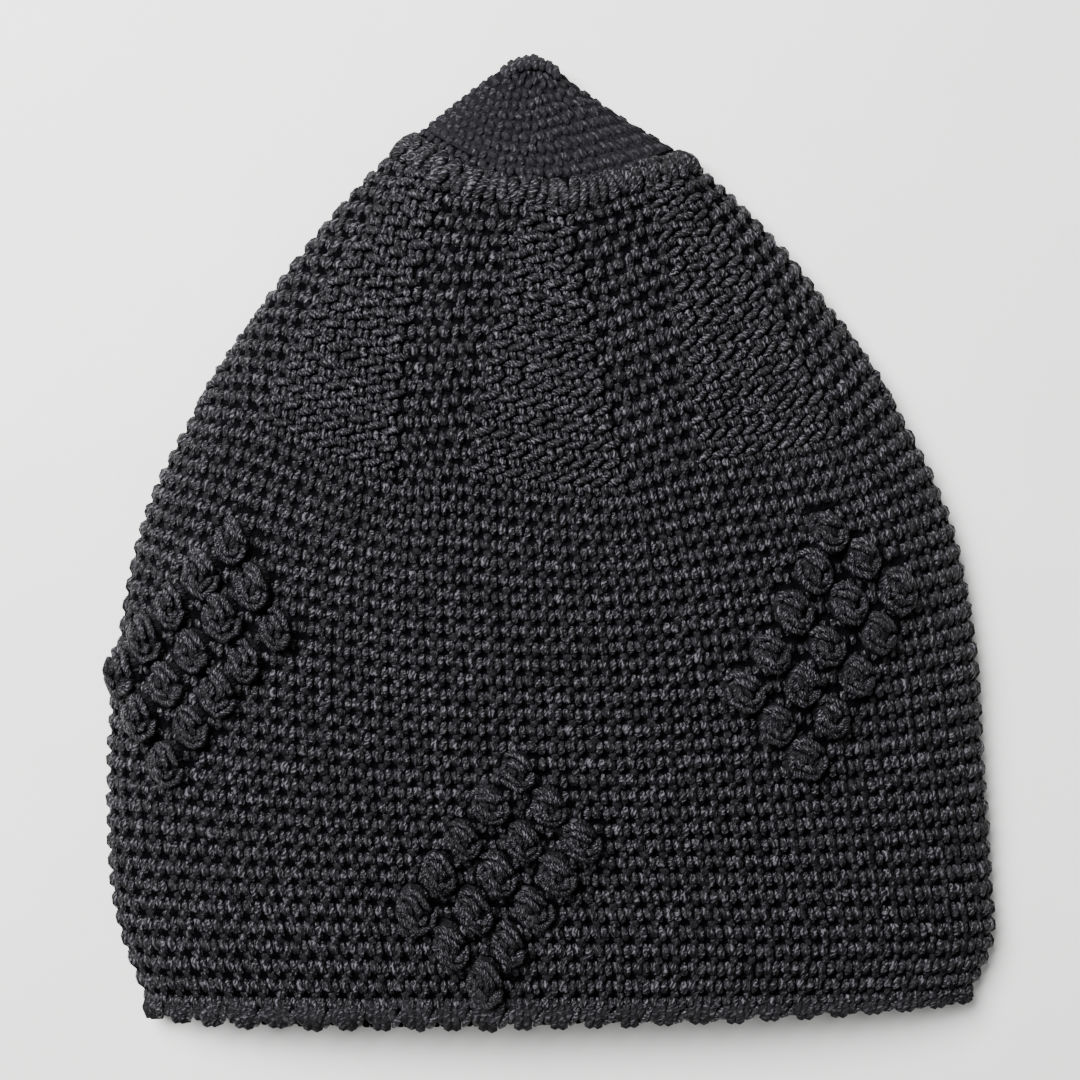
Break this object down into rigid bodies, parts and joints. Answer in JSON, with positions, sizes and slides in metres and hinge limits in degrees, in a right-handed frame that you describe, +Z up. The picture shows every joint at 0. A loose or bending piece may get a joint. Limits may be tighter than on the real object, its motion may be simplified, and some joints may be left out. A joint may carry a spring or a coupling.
{
  "type": "crocheted prayer cap",
  "caption": "Conical crocheted prayer cap in thick black cord with wedge panels, raised popcorn lattices and a scalloped rim, lying folded flat.",
  "frame": {"origin": "on the surface that the cap lies on, under the middle of its length and width", "axes": "+Y from the rim to the tip, +Z up through the upper layer, +X to the right fold as seen from above with the tip away"},
  "size_m": [0.2396, 0.2619, 0.0353],
  "materials": {
    "black_cord": "plied synthetic cord, charcoal black with a soft sheen",
    "raised_cord": "the same plied cord in the raised stitches, with a slightly stronger sheen"
  },
  "bodies": {
    "root": {"crown_tip": "black_cord", "ridge_round": "raised_cord", "swirl_crown": "black_cord", "side_wall": "black_cord", "scalloped_edging": "black_cord", "popcorn_cluster_left": "raised_cord", "popcorn_cluster_front": "raised_cord", "popcorn_cluster_right": "raised_cord"}
  },
  "joints": []
}
